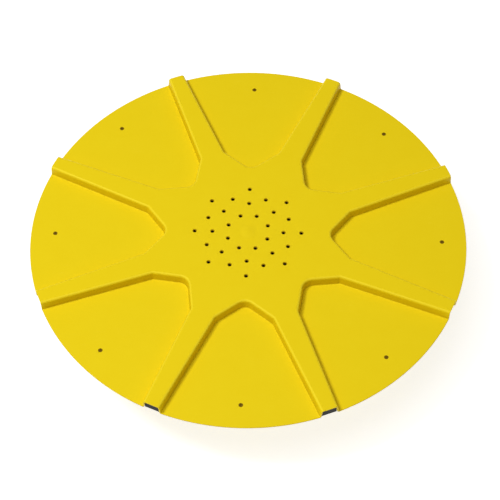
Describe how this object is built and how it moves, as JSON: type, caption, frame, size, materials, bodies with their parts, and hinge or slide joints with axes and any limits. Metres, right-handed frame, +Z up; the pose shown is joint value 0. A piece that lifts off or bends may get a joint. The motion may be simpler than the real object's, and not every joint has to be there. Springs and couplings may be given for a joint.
{
  "type": "playground merry-go-round",
  "caption": "Playground merry-go-round: a low round moulded deck with sunken sectors between raised radial channels, on a steel spider that turns freely on a fixed vertical spindle.",
  "frame": {"origin": "middle of the base plate's underside, on the axis of rotation, on the foundation", "axes": "+Z up along the axis of rotation; +X along the middle of one sunken sector, halfway between two arms"},
  "size_m": [1.4998, 1.4996, 0.3019],
  "materials": {
    "yellow_plastic": "satin, faintly mottled, moulded",
    "galvanised_steel": "hot-dip galvanised",
    "zinc_plated_steel": "bright zinc plated",
    "black_oxide_steel": "black oxide, oiled",
    "bearing_steel": "ground and oiled",
    "pressed_steel": "pressed sheet, oiled",
    "black_rubber": "matt",
    "black_plastic": "fine moulded grain",
    "brass": "turned"
  },
  "bodies": {
    "base": {"base_plate": "galvanised_steel", "base_post": "galvanised_steel", "base_gussets": "galvanised_steel", "post_cap": "galvanised_steel", "spindle": "bearing_steel", "flange_bolts": "zinc_plated_steel", "flange_washers": "zinc_plated_steel", "flange_nuts": "zinc_plated_steel", "lower_bearing_cone": "bearing_steel", "upper_bearing_cone": "bearing_steel", "lock_washer": "zinc_plated_steel", "castle_nut": "zinc_plated_steel", "split_pin": "zinc_plated_steel"},
    "platform": {"hub_housing": "galvanised_steel", "lower_bearing_cup": "bearing_steel", "upper_bearing_cup": "bearing_steel", "hub_seal": "black_rubber", "hub_cap": "zinc_plated_steel", "centre_pad": "black_rubber", "grease_nipple": "brass", "hub_plate": "galvanised_steel", "hub_gussets": "galvanised_steel", "arm_1": "galvanised_steel", "arm_2": "galvanised_steel", "arm_3": "galvanised_steel", "arm_4": "galvanised_steel", "arm_5": "galvanised_steel", "arm_6": "galvanised_steel", "arm_7": "galvanised_steel", "arm_8": "galvanised_steel", "end_plug_1": "black_plastic", "end_plug_2": "black_plastic", "end_plug_3": "black_plastic", "end_plug_4": "black_plastic", "end_plug_5": "black_plastic", "end_plug_6": "black_plastic", "end_plug_7": "black_plastic", "end_plug_8": "black_plastic", "arm_bushes": "zinc_plated_steel", "arm_bolts": "zinc_plated_steel", "arm_washers": "zinc_plated_steel", "deck_spacers": "zinc_plated_steel", "deck_screws": "zinc_plated_steel", "deck_washers": "zinc_plated_steel", "deck_inserts": "brass", "rim_hoop": "galvanised_steel", "rim_nuts": "zinc_plated_steel", "rim_screws": "black_oxide_steel", "deck": "yellow_plastic"},
    "lower_roller_set": {"lower_rollers": "bearing_steel", "lower_cage": "pressed_steel"},
    "upper_roller_set": {"upper_rollers": "bearing_steel", "upper_cage": "pressed_steel"}
  },
  "joints": [
    {"name": "platform_spin", "type": "hinge", "parent": "base", "child": "platform", "pos_m": [0, 0, 0.2], "axis": [0, 0, 1], "continuous": true},
    {"name": "lower_roller_set_orbit", "type": "hinge", "parent": "base", "child": "lower_roller_set", "pos_m": [0, 0, 0.147], "axis": [0, 0, 1], "continuous": true},
    {"name": "upper_roller_set_orbit", "type": "hinge", "parent": "base", "child": "upper_roller_set", "pos_m": [0, 0, 0.2515], "axis": [0, 0, 1], "continuous": true}
  ],
  "couplings": [
    {"joint": "lower_roller_set_orbit", "follows": "platform_spin", "ratio": 0.5821},
    {"joint": "upper_roller_set_orbit", "follows": "platform_spin", "ratio": 0.5821}
  ]
}
